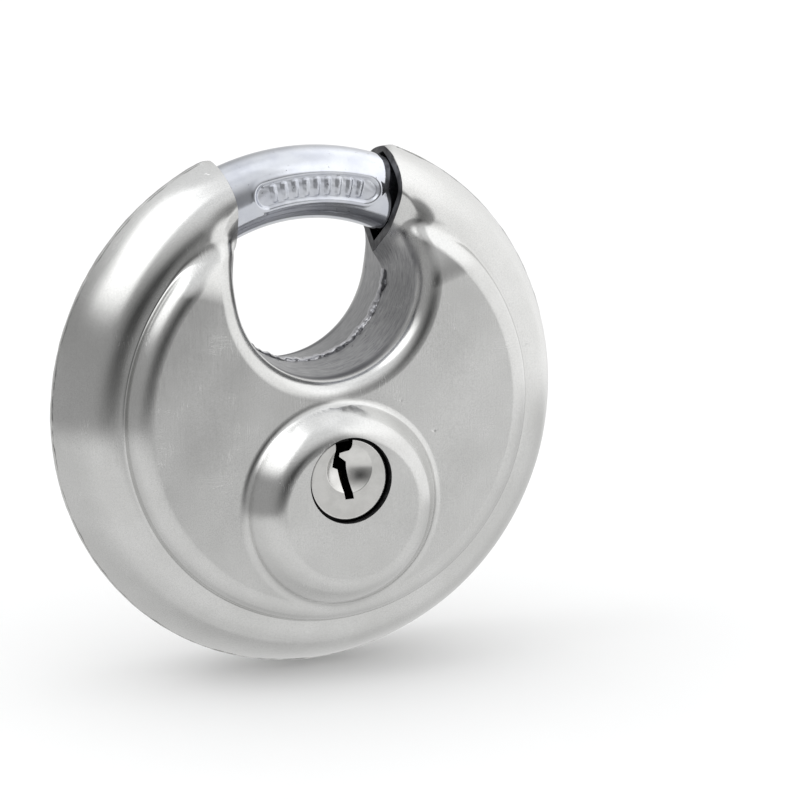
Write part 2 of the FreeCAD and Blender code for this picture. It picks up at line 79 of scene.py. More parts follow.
def field(x, Y, z, boss=True, tips=True):
    r = np.hypot(x, z)
    psi = np.degrees(np.abs(np.arctan2(x, z)))
    psi = np.where(z > 9, psi, np.maximum(psi, 50))
    dt = np.hypot(x, z-16.8)
    # round rim
    h = np.interp(r, HX, HY); s = np.interp(r, HX, HS)
    h = np.where(r > R_OUT, -2.96*(r-R_OUT), h); s = np.where(r < R_CR, 0, s)
    w = np.clip((34.0-psi)/9.0, 0, 1)                      # the arms are a little thinner than the rim
    v = np.clip((32.0-r)/6.0, 0, 1)
    h = h - 0.85*w*w*(3-2*w)*v*v*(3-2*v)
    frim = (Y-h)/np.sqrt(1+s*s)
    # raised panel; its two tips turn in over the arms and sink towards the lip of the throat
    tip = 0.954*z - 0.30*np.abs(x) - 19.0
    u = np.clip((tip+9.0)/8.5, 0, 1)
    u = u*u*(3-2*u)
    crown = 0.32*np.clip(1-(r/R_CR)**2, 0, 1) - 0.10 if boss else 0.0      # the front panel is very slightly crowned
    fp = rounded_cyl(rmax(r-R_CR, tip, 3.4), Y-crown, -3.0, 8.0 - 2.5*u, 3.0)
    fl = smin(frim, fp, 0.30 + 1.0*u)
    # throat
    fw = wall_r(Y) - dt
    ax = np.abs(x)
    zv = 18.4 - 1.4*(np.clip(ax, 9, 13)-10.2)
    q = z - zv
    hv = np.where(q < 0, _HVS[0]*q, np.interp(q, _Z, _HV)); sv = np.where(q < 0, _HVS[0], np.interp(q, _Z, _HVS))
    fv = (Y-hv)/np.sqrt(1+sv*sv)
    fh = smin(fw, fv, 1.5)
    v = np.clip((psi-23.0)/12.0, 0, 1)
    f = rmax(fl, fh, 3.5 - 0.9*v*v*(3-2*v))
    if boss:
        db = np.hypot(x-0.25, z+12.0)
        v = np.clip((db-9.1)/4.3, 0, 1)
        hb = 15.3 + 0.018*(z+12.0) - 4.3*v*v - 2.0*np.maximum(db-13.4, 0); sb = 2.0*v
        f = smin(f, np.maximum((Y-hb)/np.sqrt(1+sb*sb), db-14.2), 0.65)
    if tips:
        f = rmax(f, 0.856*z - 0.516*np.abs(x) - 21.55, 1.0)     # the tips of the arms are dressed round
    sgn = 1.0 if boss else -1.0
    for a, b, c, ph, amp in WOB:
        f = f + amp*np.sin(a*x + b*z + c*Y*sgn + ph*sgn)
    return f


def grad(x, Y, z, boss, e=0.012):
    g = np.stack([field(x+e, Y, z, boss)-field(x-e, Y, z, boss),
                  field(x, Y+e, z, boss)-field(x, Y-e, z, boss),
                  field(x, Y, z+e, boss)-field(x, Y, z-e, boss)], -1)
    return g/np.maximum(np.linalg.norm(g, axis=-1, keepdims=True), 1e-12)


def cast(bx, bz, dx, dY, dz, smax, boss, steps=44):
    """First place along each line, from a point on the parting plane inside the metal, where the field turns positive."""
    shape = np.broadcast(bx, dY, smax).shape
    bx, bz, dx, dY, dz, smax = [np.broadcast_to(a, shape).ravel() for a in (bx, bz, dx, dY, dz, smax)]
    lo = np.zeros(bx.size); hi = smax.copy(); done = np.zeros(bx.size, bool)
    for k in range(1, steps+1):
        s = smax*k/steps
        f = field(bx+dx*s, dY*s, bz+dz*s, boss)
        new = (~done) & (f > 0)
        hi[new] = s[new]
        lo[~done & ~new] = s[~done & ~new]
        done |= new
    for _ in range(26):
        m = 0.5*(lo+hi)
        f = field(bx+dx*m, dY*m, bz+dz*m, boss)
        up = f > 0
        hi = np.where(up, m, hi); lo = np.where(up, lo, m)
    s = 0.5*(lo+hi)
    return np.stack([bx+dx*s, dY*s, bz+dz*s], -1).reshape(shape+(3,))


SHEET = 1.2
MX, MZ, MS = 10.2, 18.4, 0.133      # the planes the arms end on
PSI0, GAM0 = 20.26, 81.08


def cover_grid(boss):
    tt = np.linspace(0, 1, 541)
    tt = np.concatenate([[0, 0.0004, 0.0011], tt[1:-1], [0.9989, 0.9996, 1]])
    psi = np.radians(PSI0 + (360-2*PSI0)*tt)
    gam = np.radians(GAM0 + (360-2*GAM0)*tt)
    rin = 11.4 - 1.08*np.exp(-((np.minimum(tt, 1-tt))/0.045)**2)
    po = np.stack([35.0*np.sin(psi), 35.0*np.cos(psi)], -1)
    pi = np.stack([rin*np.sin(gam), 16.8+rin*np.cos(gam)], -1)
    e = pi - po
    L = np.linalg.norm(e, axis=1)
    e = e/L[:, None]
    lam = np.linspace(0, 1, 1200)
    pts = po[:, None] + lam[None, :, None]*(pi-po)[:, None]
    r = np.hypot(pts[..., 0], pts[..., 1]); d = np.hypot(pts[..., 0], pts[..., 1]-16.8)
    near = np.exp(-((np.minimum(tt, 1-tt))/0.05)**2)
    db = 15.3 - 2.2*near
    n = len(tt)
    wb, wc, ws, wl = [np.zeros(n) for _ in range(4)]
    for i in range(n):
        k = np.argmin(r[i]) if r[i].min() < 24 else len(lam)-1
        rr, ll = r[i][:k+1], lam[:k+1]
        wb[i] = np.interp(-30.2, -rr, ll)*L[i]
        wc[i] = np.interp(-27.9, -rr, ll)*L[i]
        ws[i] = np.interp(-24.9, -rr, ll)*L[i]
        kd = len(lam)-1
        j = np.argmax(d[i])
        wl[i] = np.interp(-db[i], -d[i][j:], lam[j:])*L[i]
    ws = np.minimum(ws, wc + (wl-wc)*0.6)
    # rows of the straight stretch, as places along each ray
    A = np.array([1, .86, .72, .58, .44, .31, .20, .11, .05, .02, 0.0])
    rowsA = wb[None] + (wc-wb)[None]*(1-A)[:, None]
    th = np.radians(np.array([3, 6, 9, 13, 18, 24, 30, 37, 44, 51, 58, 65, 72, 79, 86, 90]))
    rowsB = wc[None] + (ws-wc)[None]*(1-np.cos(th))[:, None]
    c = np.linspace(0, 1, 92)[1:]
    rowsC = ws[None] + (wl-ws)[None]*c[:, None]
    W = np.concatenate([rowsA, rowsB, rowsC], 0)
    P = []
    # rim fan
    phi = np.radians(np.concatenate([[0, 0.9, 2.0], np.linspace(5, 87, 27)]))[:, None]
    bx = (po[:, 0] + e[:, 0]*wb)[None]; bz = (po[:, 1] + e[:, 1]*wb)[None]
    P.append(cast(bx, bz, -e[None, :, 0]*np.cos(phi), np.sin(phi)+0*bx, -e[None, :, 1]*np.cos(phi), 9.5, boss))
    # straight stretch
    bx = po[None, :, 0] + e[None, :, 0]*W; bz = po[None, :, 1] + e[None, :, 1]*W
    P.append(cast(bx, bz, 0*bx, 1+0*bx, 0*bx, 18.0, boss))
    # throat fan
    bx = (po[:, 0] + e[:, 0]*wl)[None]; bz = (po[:, 1] + e[:, 1]*wl)[None]
    ta = np.radians(np.linspace(8, 90, 13))
    lipd, lipY = 15.3-2.6*np.sin(ta), 8.4+2.6*np.cos(ta)
    wy = 8.4*(1-np.linspace(0, 1, 25)[1:]); wy = np.concatenate([wy[:-1], [0.10, 0.04, 0.0]])
    wd = wall_r(wy)
    ang = np.concatenate([np.arctan2(lipY, 15.3-lipd), np.arctan2(wy, 15.3-wd)])
    phi = ang[:, None]
    smax = 13.5 - 5.5*(1-phi/(math.pi/2))
    P.append(cast(bx, bz, e[None, :, 0]*np.cos(phi), np.sin(phi)+0*bx, e[None, :, 1]*np.cos(phi), smax, boss))
    P = np.concatenate(P, 0)
    P[0, :, 1] = 0; P[-1, :, 1] = 0
    return P


def mesh_from(name, verts, faces, smooth=True):
    me = bpy.data.meshes.new(name)
    faces = [np.asarray(f) for f in faces]
    me.from_pydata([tuple(v) for v in verts.tolist()], [], [tuple(f) for fs in faces for f in fs.tolist()])
    me.validate(clean_customdata=False)
    if smooth:
        me.polygons.foreach_set("use_smooth", np.ones(len(me.polygons), bool))
    me.update()
    return me


def grid_faces(nr, nc, off=0, flip=False, wrap=False):
    i, j = np.meshgrid(np.arange(nr-1), np.arange(nc if wrap else nc-1), indexing="ij")
    j2 = (j+1) % nc
    a, b, c, d = i*nc+j, i*nc+j2, (i+1)*nc+j2, (i+1)*nc+j
    f = np.stack([a, b, c, d], -1).reshape(-1, 4) + off
    return f[:, ::-1] if flip else f


def add_object(name, me):
    o = bpy.data.objects.new(name, me)
    bpy.context.scene.collection.objects.link(o)
    return o


def analytic_normals(me, to_field, boss, tol=0.03):
    """Exact shading normals for every corner on the outside of a cover, so reflections stay smooth."""
    nv, nl, nf = len(me.vertices), len(me.loops), len(me.polygons)
    co = np.zeros(nv*3); me.vertices.foreach_get("co", co); co = co.reshape(-1, 3)
    x, Y, z, sg = to_field(co)
    g = grad(x, Y, z, boss); g[:, 1] *= sg
    on = np.abs(field(x, Y, z, boss)) < tol
    lv = np.zeros(nl, int); me.loops.foreach_get("vertex_index", lv)
    fn = np.zeros(nf*3); me.polygons.foreach_get("normal", fn); fn = fn.reshape(-1, 3)
    tot = np.zeros(nf, int); me.polygons.foreach_get("loop_total", tot)
    lf = np.repeat(np.arange(nf), tot)
    n = g[lv]
    good = on[lv] & ((n*fn[lf]).sum(1) > 0.6)
    out = np.where(good[:, None], n, 0.0)
    me.set_sharp_from_angle(angle=math.radians(38))
    me.normals_split_custom_set([tuple(v) for v in out.tolist()])


def build_cover(name, boss):
    P = cover_grid(boss)
    nr, nc = P.shape[:2]
    N = grad(P[..., 0], P[..., 1], P[..., 2], boss)
    # direction of the sheet's thickness: kept in the mouth planes and in the parting plane at the edges
    m = np.zeros(N.shape); side = np.sign(P[..., 0])
    mn = np.array([1.0, 0.0, -MS]); mn /= np.linalg.norm(mn)
    m[..., 0] = mn[0]*side; m[..., 2] = mn[2]
    dist = np.abs(P[..., 0])*mn[0] + P[..., 2]*mn[2] - (MX*mn[0] + MZ*mn[2])
    w = np.where(P[..., 2] > 10, np.exp(-(np.maximum(dist, 0)/2.5)**2), 0)
    D = N - (w*(N*m).sum(-1))[..., None]*m
    D[0, :, 1] = 0; D[-1, :, 1] = 0
    D /= np.maximum(np.linalg.norm(D, axis=-1, keepdims=True), 1e-9)
    # where the tips are dressed round the sheet is thinner, so that its inside stays clear of the bar
    cut = np.clip(field(P[..., 0], P[..., 1], P[..., 2], boss, False), -0.5, 0)
    thick = SHEET + np.where(P[..., 2] > 28, cut, 0)
    Q = P - thick[..., None]*D
    # the hollow side must stay on its own side of the parting plane
    for rows in (range(nr//2), range(nr-1, nr//2, -1)):
        rows = list(rows)
        for j in range(nc):
            k = next(i for i in range(1, len(rows)) if Q[rows[i], j, 1] > 0.02)
            a, b = Q[rows[k-1], j], Q[rows[k], j]
            if k == 1:
                continue
            t = (0-a[1])/(b[1]-a[1]) if b[1] != a[1] else 0
            X = a + (b-a)*t; X[1] = 0
            for i in range(k):
                Q[rows[i], j] = X
    # a hair of edge break on the cut edges
    P = P.copy()
    P[0] -= 0.05*D[0]; P[-1] -= 0.07*D[-1]
    P[1:-1, 0] -= 0.10*D[1:-1, 0]; P[1:-1, -1] -= 0.10*D[1:-1, -1]
    V = np.concatenate([P.reshape(-1, 3), Q.reshape(-1, 3)])
    n0 = nr*nc
    F = [grid_faces(nr, nc), grid_faces(nr, nc, n0, True)]
    top = np.arange(nc); bot = (nr-1)*nc + np.arange(nc)
    F.append(np.stack([top[1:], top[:-1], top[:-1]+n0, top[1:]+n0], -1))
    F.append(np.stack([bot[:-1], bot[1:], bot[1:]+n0, bot[:-1]+n0], -1))
    lft = np.arange(nr)*nc; rgt = lft + nc-1
    F.append(np.stack([lft[:-1], lft[1:], lft[1:]+n0, lft[:-1]+n0], -1))
    F.append(np.stack([rgt[1:], rgt[:-1], rgt[:-1]+n0, rgt[1:]+n0], -1))
    X = V.copy()
    X[:, 1] = (-V[:, 1] if boss else V[:, 1]) - YC
    if not boss:
        F = [f[:, ::-1] for f in F]
    me = mesh_from(name, X*MM, F)
    bm = bmesh.new(); bm.from_mesh(me)
    bmesh.ops.remove_doubles(bm, verts=bm.verts, dist=2e-6)
    bmesh.ops.dissolve_degenerate(bm, dist=1e-6, edges=bm.edges)
    bmesh.ops.recalc_face_normals(bm, faces=bm.faces)
    bm.to_mesh(me); bm.free()
    o = add_object(name, me)
    return o


def to_field_front(co):
    c = co/MM
    return c[:, 0], -(c[:, 1]+YC), c[:, 2], -1.0


def to_field_rear(co):
    c = co/MM
    return c[:, 0], c[:, 1]+YC, c[:, 2], 1.0


def apply_modifiers(o):
    dg = bpy.context.evaluated_depsgraph_get()
    me = bpy.data.meshes.new_from_object(o.evaluated_get(dg), preserve_all_data_layers=True, depsgraph=dg)
    old = o.data
    o.modifiers.clear()
    o.data = me
    bpy.data.meshes.remove(old)
    return o


def cutter_cylinder(name, x, z, r, y0, y1, n=180):
    """Closed round prism along Y, in mm."""
    a = np.linspace(0, 2*math.pi, n, endpoint=False)
    ring = np.stack([x+r*np.cos(a), 0*a, z+r*np.sin(a)], -1)
    v0, v1 = ring.copy(), ring.copy(); v0[:, 1] = y0; v1[:, 1] = y1
    V = np.concatenate([v0, v1])
    me = bpy.data.meshes.new(name)
    fs = [tuple(range(n)), tuple(range(2*n-1, n-1, -1))]
    fs += [(i, i+n, (i+1) % n+n, (i+1) % n) for i in range(n)]
    me.from_pydata([tuple(v) for v in (V*MM).tolist()], [], fs)
    bm = bmesh.new(); bm.from_mesh(me); bmesh.ops.recalc_face_normals(bm, faces=bm.faces); bm.to_mesh(me); bm.free()
    return add_object(name, me)


def boolean_cut(o, cutter):
    md = o.modifiers.new("cut", "BOOLEAN"); md.operation = "DIFFERENCE"; md.solver = "EXACT"; md.object = cutter
    apply_modifiers(o)
    me = cutter.data
    bpy.data.objects.remove(cutter); bpy.data.meshes.remove(me)
    return o


# cut edges, hollow side and outside of each cover take their own finish
def paint_cover(o, to_field, boss):
    me = o.data
    nf = len(me.polygons)
    c = np.zeros(nf*3); me.polygons.foreach_get("center", c); c = c.reshape(-1, 3)
    n = np.zeros(nf*3); me.polygons.foreach_get("normal", n); n = n.reshape(-1, 3)
    x, Y, z, sg = to_field(c)
    f = field(x, Y, z, boss)
    idx = np.zeros(nf, int)
    idx[f < -0.35] = 2
    mn = np.array([1.0, 0.0, -MS]); mn /= np.linalg.norm(mn)
    side = np.sign(x)
    dist = np.abs(x)*mn[0] + z*mn[2] - (MX*mn[0] + MZ*mn[2])
    facing = -(n[:, 0]*side*mn[0] + n[:, 2]*mn[2])
    idx[(np.abs(dist) < 0.14) & (facing > 0.8) & (z > 15)] = 1
    rk = np.hypot(x, z+8.0)
    idx[(np.abs(rk-5.65) < 0.05) & (np.abs(n[:, 1]) < 0.5) & (Y > 12)] = 1
    me.materials.clear()
    for m in (M_STEEL, M_EDGE, M_INSIDE):
        me.materials.append(m)
    me.polygons.foreach_set("material_index", idx)
    me.update()


# =============================================================================================================
# procedural materials
# =============================================================================================================
class Nodes:
    """Small helper for writing node trees as expressions."""
    def __init__(self, tree):
        self.t = tree
        tree.nodes.clear()

    def add(self, kind, inputs=None, **props):
        n = self.t.nodes.new(kind)
        for k, v in props.items():
            setattr(n, k, v)
        for k, v in (inputs or {}).items():
            self.put(n.inputs[k], v)
        return n

    def put(self, sock, v):
        if hasattr(v, "outputs"):
            v = v.outputs[0]
        if hasattr(v, "is_output"):
            self.t.links.new(v, sock)
        else:
            sock.default_value = v

    def math(self, op, a, b=None, c=None, clamp=False):
        n = self.add("ShaderNodeMath", operation=op, use_clamp=clamp)
        for i, v in enumerate((a, b, c)):
            if v is not None:
                self.put(n.inputs[i], v)
        return n.outputs[0]

    def mul(self, a, b): return self.math("MULTIPLY", a, b)
    def plus(self, a, b): return self.math("ADD", a, b)
    def minus(self, a, b): return self.math("SUBTRACT", a, b)

    def smooth(self, v, lo, hi, a=0.0, b=1.0):
        n = self.add("ShaderNodeMapRange", interpolation_type="SMOOTHSTEP")
        for k, w in ((0, v), (1, lo), (2, hi), (3, a), (4, b)):
            self.put(n.inputs[k], w)
        return n.outputs[0]

    def xyz(self, v):
        n = self.add("ShaderNodeSeparateXYZ", {0: v})
        return n.outputs[0], n.outputs[1], n.outputs[2]

    def vec(self, x, y, z):
        n = self.add("ShaderNodeCombineXYZ", {0: x, 1: y, 2: z})
        return n.outputs[0]

    def noise(self, vec, scale, detail=2.0, rough=0.5, dist=0.0):
        n = self.add("ShaderNodeTexNoise", {"Vector": vec, "Scale": scale, "Detail": detail, "Roughness": rough, "Distortion": dist})
        return n.outputs[0]

    def mixf(self, f, a, b):
        n = self.add("ShaderNodeMix", data_type="FLOAT")
        self.put(n.inputs[0], f); self.put(n.inputs[2], a); self.put(n.inputs[3], b)
        return n.outputs[0]

    def mixc(self, f, a, b):
        n = self.add("ShaderNodeMix", data_type="RGBA")
        self.put(n.inputs[0], f)
        for s, v in ((n.inputs[6], a), (n.inputs[7], b)):
            self.put(s, v if hasattr(v, "is_output") or hasattr(v, "outputs") else (v[0], v[1], v[2], 1.0))
        return n.outputs[2]


def new_material(name):
    m = bpy.data.materials.new(name)
    m.use_nodes = True
    g = Nodes(m.node_tree)
    out = g.add("ShaderNodeOutputMaterial")
    b = g.add("ShaderNodeBsdfPrincipled", {"Metallic": 1.0})
    g.put(out.inputs[0], b)
    return m, g, b


def mm_coords(g):
    """Object position in millimetres."""
    p = g.add("ShaderNodeTexCoord").outputs["Object"]
    n = g.add("ShaderNodeVectorMath", {0: p, 1: (1000.0, 1000.0, 1000.0)}, operation="MULTIPLY")
    return n.outputs[0]


def steel_material():
    m, g, b = new_material("satin_stainless")
    p = mm_coords(g)
    x, y, z = g.xyz(p)
    r = g.math("SQRT", g.plus(g.mul(x, x), g.mul(z, z)))
    zb = g.plus(z, 12.0)
    rb = g.math("SQRT", g.plus(g.mul(x, x), g.mul(zb, zb)))
    zt = g.minus(z, 16.8)
    rt = g.math("SQRT", g.plus(g.mul(x, x), g.mul(zt, zt)))
    ang = g.math("ARCTAN2", x, z)
    yd = g.math("ABSOLUTE", g.plus(y, 11.0))
    rim = g.smooth(r, 27.4, 28.2)
    wall = g.mul(g.mul(g.smooth(rt, 14.6, 12.8), g.smooth(yd, 9.4, 7.8)), g.smooth(z, 23.0, 18.5))
    boss = g.smooth(rb, 13.4, 12.6)
    # direction of the brushing: round the rim and the throat, straight on the panel
    v_panel = g.vec(g.mul(x, 7.0), g.mul(y, 1.2), g.mul(z, 0.35))
    v_rim = g.vec(g.mul(ang, 9.0), g.mul(y, 6.0), g.mul(r, 6.0))
    v_wall = g.vec(g.mul(x, 0.7), g.mul(y, 5.0), g.mul(z, 0.7))
    g_panel = g.noise(v_panel, 1.0, 4.0, 0.62)
    g_rim = g.noise(v_rim, 1.0, 3.0, 0.6)
    g_wall = g.noise(v_wall, 1.0, 4.0, 0.62)
    grain = g.mixf(rim, g_panel, g_rim)
    grain = g.mixf(wall, grain, g_wall)
    fine = g.noise(p, 5.5, 3.0, 0.7)
    cloud = g.noise(p, 0.11, 3.0, 0.55)
    cloud2 = g.noise(p, 0.5, 2.0, 0.5, 0.6)
    # sparse scratches: thin ridges of two stretched and turned noises
    def scratches(rot, sx, sz, lo, hi):
        mp = g.add("ShaderNodeMapping", {"Vector": p, "Rotation": (0.0, rot, 0.0), "Scale": (sx, 0.3, sz)})
        n = g.noise(mp.outputs[0], 1.0, 2.0, 0.5)
        k = g.math("ABSOLUTE", g.minus(n, 0.5))
        line = g.smooth(k, 0.012, 0.0)
        gate = g.smooth(g.noise(p, 0.23 + rot*0.02, 1.0), lo, hi)
        return g.mul(line, gate)
    scr = g.math("MAXIMUM", scratches(0.7, 1.6, 0.16, 0.60, 0.70), scratches(-0.5, 0.2, 2.1, 0.62, 0.72))
    scr = g.math("MAXIMUM", scr, scratches(0.15, 2.6, 0.22, 0.60, 0.69))
    # colour
    col = g.mixc(g.smooth(cloud, 0.3, 0.7), (0.640, 0.640, 0.632), (0.700, 0.700, 0.694))
    col = g.mixc(g.mul(g.smooth(fine, 0.35, 0.75), 0.45), col, (0.50, 0.50, 0.495))
    # painted shade: the throat's wall, down in the recess, is painted much darker, streaked along its grain
    col = g.mixc(g.mul(wall, g.smooth(g_wall, 0.35, 0.68, 0.58, 0.92)), col, (0.25, 0.25, 0.262))
    pits = g.smooth(g.noise(p, 1.7, 1.0), 0.235, 0.205)
    col = g.mixc(g.mul(g.mul(pits, wall), 0.8), col, (0.08, 0.08, 0.085))
    col = g.mixc(g.mul(scr, 0.25), col, (0.88, 0.88, 0.88))
    # painted shade: a dark band painted into the corner where the throat's wall turns into its lip, darkest near the
    # bottom of the throat
    low = g.math("ARCTAN2", g.plus(x, 2.5), g.mul(zt, -1.0))
    corner_shade = g.mul(g.smooth(yd, 6.9, 8.0), g.smooth(yd, 9.3, 8.4))
    corner_shade = g.mul(g.mul(corner_shade, g.smooth(rt, 14.2, 13.3)), g.smooth(g.math("ABSOLUTE", low), 1.25, 0.45, 0.0, 0.9))
    col = g.mixc(corner_shade, col, (0.10, 0.10, 0.11))
    g.put(b.inputs["Base Color"], col)
    # roughness
    ro = g.mixf(rim, 0.215, 0.16)
    ro = g.mixf(boss, ro, 0.17)
    ro = g.mixf(wall, ro, 0.42)
    ro = g.plus(ro, g.mul(g.minus(grain, 0.5), 0.16))
    ro = g.plus(ro, g.mul(g.minus(cloud2, 0.5), 0.07))
    ro = g.plus(ro, g.mul(scr, 0.10))
    g.put(b.inputs["Roughness"], ro)
    # bump: grain, fine blast texture, scratches
    h = g.plus(g.mul(grain, 1.0), g.mul(fine, 0.55))
    h = g.minus(h, g.mul(scr, 0.9))
    h = g.minus(h, g.mul(g.mul(pits, wall), 4.0))
    h = g.mul(h, g.mixf(rim, 1.0, 0.6))
    ding = g.mul(g.smooth(g.noise(p, 0.33, 1.0), 0.235, 0.18), g.smooth(g.noise(p, 0.9, 1.0), 0.45, 0.6))
    h = g.minus(h, g.mul(ding, 9.0))
    bp = g.add("ShaderNodeBump", {"Strength": 1.0, "Distance": 0.0000032, "Height": h})
    g.put(b.inputs["Normal"], bp)
    return m


def plain_metal(name, dark, light, rough, grain=(3.0, 3.0, 0.4), depth=2.0e-6, spread=0.10, blotch=0.25, dirt=0.0, dirt_col=(0.03, 0.03, 0.03), metal=1.0):
    """Cast, turned or plated metal: cloudy colour, directional grain, fine pitting and patches of grime."""
    m, g, b = new_material(name)
    p = mm_coords(g)
    x, y, z = g.xyz(p)
    gr = g.noise(g.vec(g.mul(x, grain[0]), g.mul(y, grain[1]), g.mul(z, grain[2])), 1.0, 4.0, 0.6)
    fine = g.noise(p, 7.0, 3.0, 0.65)
    cloud = g.noise(p, blotch, 3.0, 0.55)
    col = g.mixc(g.smooth(g.plus(g.mul(cloud, 0.7), g.mul(fine, 0.3)), 0.3, 0.7), dark, light)
    if dirt:
        k = g.mul(g.smooth(g.noise(p, 0.6, 4.0, 0.6), 0.50, 0.66), dirt)
        col = g.mixc(k, col, dirt_col)
    g.put(b.inputs["Base Color"], col)
    g.put(b.inputs["Metallic"], metal)
    ro = g.plus(rough, g.mul(g.minus(gr, 0.5), spread*2))
    ro = g.plus(ro, g.mul(g.minus(fine, 0.5), spread))
    g.put(b.inputs["Roughness"], ro)
    h = g.plus(gr, g.mul(fine, 0.6))
    g.put(b.inputs["Normal"], g.add("ShaderNodeBump", {"Strength": 1.0, "Distance": depth, "Height": h}))
    return m, g, b, p


def turned_metal(name, dark, light, rough, cx, cz, pitch=9.0, depth=1.2e-6, front_shade_y=None):
    """Metal turned about an axis along Y: fine rings round (cx, cz) in mm; if a y for the front is given, the colour in
    front of it is painted near black as shade.
    """
    m, g, b = new_material(name)
    p = mm_coords(g)
    x, y, z = g.xyz(p)
    dx, dz = g.minus(x, cx), g.minus(z, cz)
    rr = g.math("SQRT", g.plus(g.mul(dx, dx), g.mul(dz, dz)))
    an = g.math("ARCTAN2", dx, dz)
    rings = g.noise(g.vec(g.mul(rr, pitch), g.mul(y, pitch), g.mul(an, 0.9)), 1.0, 3.0, 0.6)
    fine = g.noise(p, 8.0, 2.0, 0.6)
    cloud = g.noise(p, 0.35, 3.0, 0.55)
    col = g.mixc(g.smooth(cloud, 0.3, 0.7), dark, light)
    if front_shade_y is not None:
        # painted shade: in front of the given y the colour goes near black, for the shaded front of the part
        col = g.mixc(g.smooth(y, front_shade_y+0.6, front_shade_y-0.6), col, (0.012, 0.012, 0.012))
    g.put(b.inputs["Base Color"], col)
    ro = g.plus(rough, g.mul(g.minus(rings, 0.5), 0.14))
    g.put(b.inputs["Roughness"], g.plus(ro, g.mul(g.minus(fine, 0.5), 0.06)))
    g.put(b.inputs["Normal"], g.add("ShaderNodeBump", {"Strength": 1.0, "Distance": depth, "Height": g.plus(rings, g.mul(fine, 0.3))}))
    return m


def chrome_material():
    m, g, b = new_material("bright_chrome")
    p = mm_coords(g)
    x, y, z = g.xyz(p)
    r = g.math("SQRT", g.plus(g.mul(x, x), g.mul(z, z)))
    ang = g.math("ARCTAN2", x, z)
    draw = g.noise(g.vec(g.mul(ang, 5.0), g.mul(y, 4.0), g.mul(r, 4.0)), 1.0, 3.0, 0.6)
    fine = g.noise(p, 6.0, 3.0, 0.7)
    cloud = g.noise(p, 0.4, 3.0, 0.5)
    peel = g.noise(p, 1.1, 2.0, 0.5)
    col = g.mixc(g.smooth(cloud, 0.3, 0.7), (0.610, 0.630, 0.690), (0.680, 0.700, 0.745))
    specks = g.smooth(g.noise(p, 2.6, 1.0), 0.262, 0.235)
    col = g.mixc(g.mul(specks, 0.7), col, (0.12, 0.12, 0.13))
    g.put(b.inputs["Base Color"], col)
    # the sunk oval keeps the matt finish of the die
    s_ = g.mul(g.minus(ang, 0.027), 28.55)
    dd = g.minus(r, 28.55)
    e1 = g.math("MAXIMUM", g.minus(g.math("ABSOLUTE", s_), 6.95), 0.0)
    dd = g.math("SQRT", g.plus(g.mul(e1, e1), g.mul(dd, dd)))
    oval = g.mul(g.smooth(dd, 1.85, 1.5), g.smooth(y, -13.0, -14.0))
    ro = g.plus(g.mixf(oval, 0.085, 0.37), g.mul(g.minus(draw, 0.5), 0.07))
    g.put(b.inputs["Roughness"], g.plus(ro, g.mul(specks, 0.3)))
    h = g.plus(g.plus(g.mul(draw, 0.6), g.mul(fine, 0.25)), g.mul(peel, 3.0))
    g.put(b.inputs["Normal"], g.add("ShaderNodeBump", {"Strength": 1.0, "Distance": 2.0e-6, "Height": h}))
    return m


M_STEEL = steel_material()
M_EDGE = plain_metal("sheared_edge", (0.055, 0.055, 0.058), (0.17, 0.17, 0.175), 0.48, (1.0, 6.0, 1.0), 2.0e-5, 0.12, 0.8)[0]
M_INSIDE = plain_metal("unpolished_inside", (0.10, 0.10, 0.105), (0.20, 0.20, 0.205), 0.50, (1.5, 1.5, 1.5), 6.0e-6, 0.10, 0.3, 0.6)[0]
def weld_material():
    m, g, b, p = plain_metal("seam_weld_steel", (0.44, 0.44, 0.46), (0.60, 0.60, 0.62), 0.30, (1.2, 1.2, 1.2), 4.0e-6, 0.08, 0.5, 0.10, (0.16, 0.16, 0.17))
    x, y, z = g.xyz(p)
    # painted shade and heat tint: a dark line along the toe of the bead, wandering with it, partly heat tint and partly
    # painted shade of the crevice; stronger on the front side
    edge = g.plus(g.math("ABSOLUTE", g.plus(y, 11.05)), g.mul(g.minus(g.noise(p, 0.9, 2.0), 0.5), 0.9))
    toe_shade_and_tint = g.smooth(edge, 0.50, 0.68)
    old = b.inputs["Base Color"].links[0].from_socket
    g.put(b.inputs["Base Color"], g.mixc(g.mul(toe_shade_and_tint, g.smooth(y, -10.9, -11.3, 0.25, 0.85)), old, (0.07, 0.07, 0.075)))
    return m


M_WELD = weld_material()
M_CHROME = chrome_material()
M_PLUG = turned_metal("polished_nickel", (0.66, 0.655, 0.64), (0.76, 0.755, 0.74), 0.21, 0.0, -8.0, 7.0, 1.0e-6)
# painted shade: the front of the brass cylinder, seen through the gap round the plug, is painted near black
M_BRASS = turned_metal("cylinder_brass", (0.52, 0.36, 0.14), (0.70, 0.52, 0.25), 0.30, 0.0, -8.0, 5.0, 3.0e-6, front_shade_y=-23.3)
# painted shade: the key pins, seen down the keyway, are painted near black
M_KEYPIN_SHADED = turned_metal("keyway_shade_pin_brass", (0.05, 0.04, 0.02), (0.12, 0.09, 0.045), 0.35, 0.0, 0.0, 8.0, 2.0e-6)
